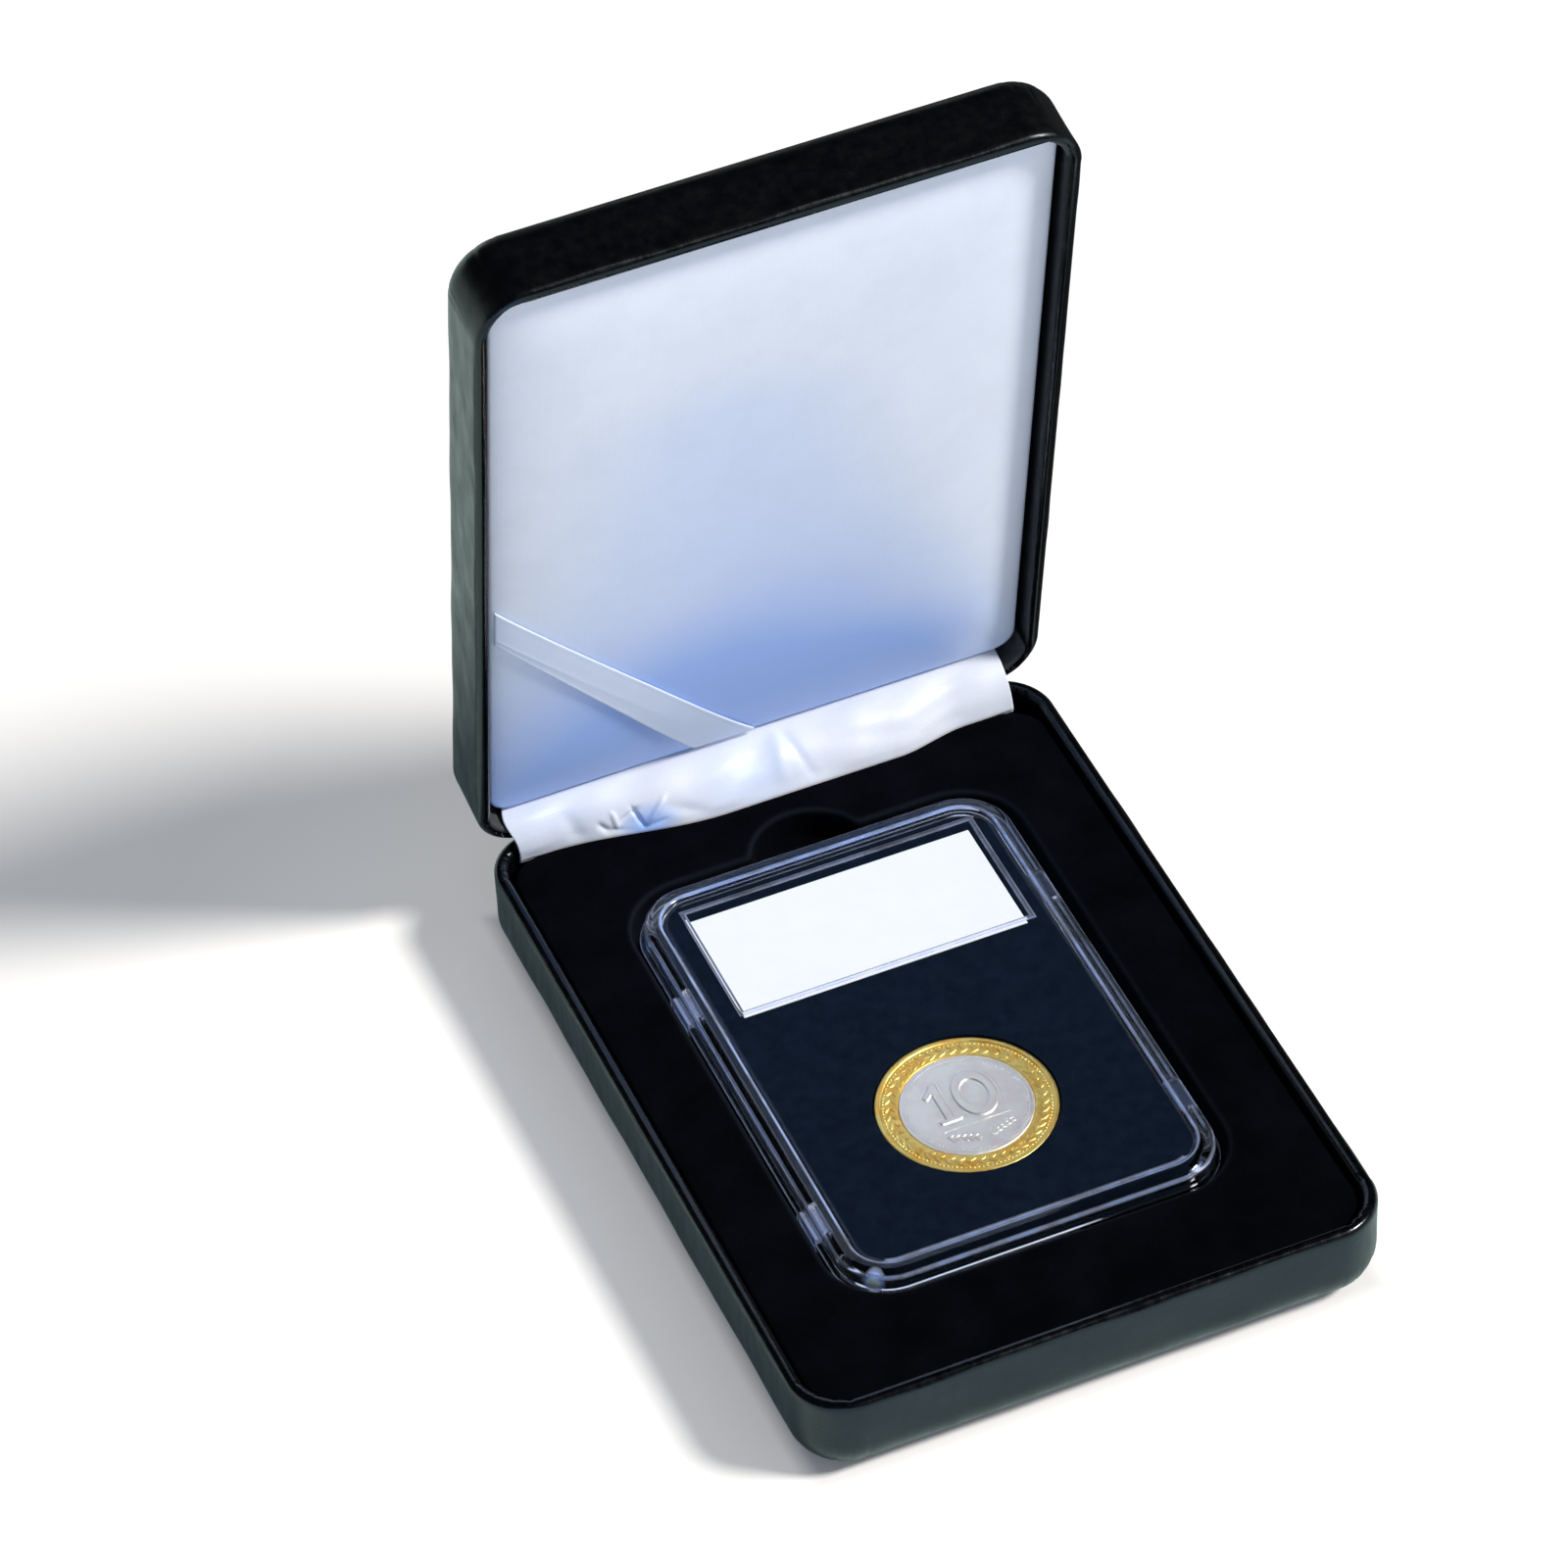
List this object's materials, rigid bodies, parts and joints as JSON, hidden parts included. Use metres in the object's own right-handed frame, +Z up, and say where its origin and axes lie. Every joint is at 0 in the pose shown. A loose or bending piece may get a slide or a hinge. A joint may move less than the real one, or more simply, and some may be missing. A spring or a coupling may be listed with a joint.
{
  "type": "coin slab presentation box",
  "caption": "Hinged black leatherette presentation box standing open, with a white satin lid pad and a clear coin slab seated in a flocked pocket.",
  "frame": {"origin": "centre of the base's flat underside", "axes": "+Z up, +Y from the open front edge to the hinge, +X to the right seen from the front; the lid rests open, 80 degrees from closed"},
  "size_m": [0.091, 0.1368, 0.1411],
  "materials": {
    "base_leatherette": "black fine-grained leatherette, semi-gloss",
    "lid_leatherette": "black fine-grained leatherette, semi-gloss",
    "base_moulding": "plain moulded shell",
    "lid_moulding": "plain moulded shell",
    "flock": "black flocked velvet",
    "support_foam": "grey open foam",
    "satin": "white satin",
    "ribbon_satin": "white satin ribbon",
    "pad_foam": "white open foam",
    "pad_board": "grey board",
    "hinge_steel": "zinc-plated stamping",
    "spring_steel": "blued spring steel",
    "clear_plastic": "clear moulded polystyrene",
    "slab_foam": "near-black closed-cell foam",
    "label_card": "white card, plain",
    "gold_alloy": "struck gold-coloured alloy",
    "silver_alloy": "struck silver-coloured alloy"
  },
  "bodies": {
    "base": {"base_cover": "base_leatherette", "base_shell": "base_moulding", "velvet_insert": "flock", "insert_support": "support_foam", "hinge_plate_base": "hinge_steel", "hinge_pin_left": "hinge_steel", "hinge_pin_right": "hinge_steel", "base_rivet_left": "hinge_steel", "base_rivet_right": "hinge_steel", "snap_spring": "spring_steel", "hinge_cloth": "satin"},
    "lid": {"lid_cover": "lid_leatherette", "lid_shell": "lid_moulding", "satin_pad": "satin", "pad_foam": "pad_foam", "pad_board": "pad_board", "certificate_ribbon": "ribbon_satin", "hinge_plate_lid": "hinge_steel", "lid_rivet_left": "hinge_steel", "lid_rivet_right": "hinge_steel"},
    "slab": {"slab_base": "clear_plastic", "foam_insert": "slab_foam", "label_card": "label_card", "coin_ring": "gold_alloy", "coin_core": "silver_alloy"},
    "slab_top": {"slab_cover": "clear_plastic"}
  },
  "joints": [
    {"name": "lid_swing", "type": "hinge", "parent": "base", "child": "lid", "pos_m": [0, 0.0619, 0.0167], "axis": [1, 0, 0], "range_deg": [0, 80], "deforming": ["hinge_cloth"]},
    {"name": "slab_lift", "type": "slide", "parent": "base", "child": "slab", "axis": [0, 0, 1], "range_m": [0, 0.05]},
    {"name": "slab_cover_lift", "type": "slide", "parent": "slab", "child": "slab_top", "axis": [0, 0, 1], "range_m": [0, 0.028]}
  ]
}
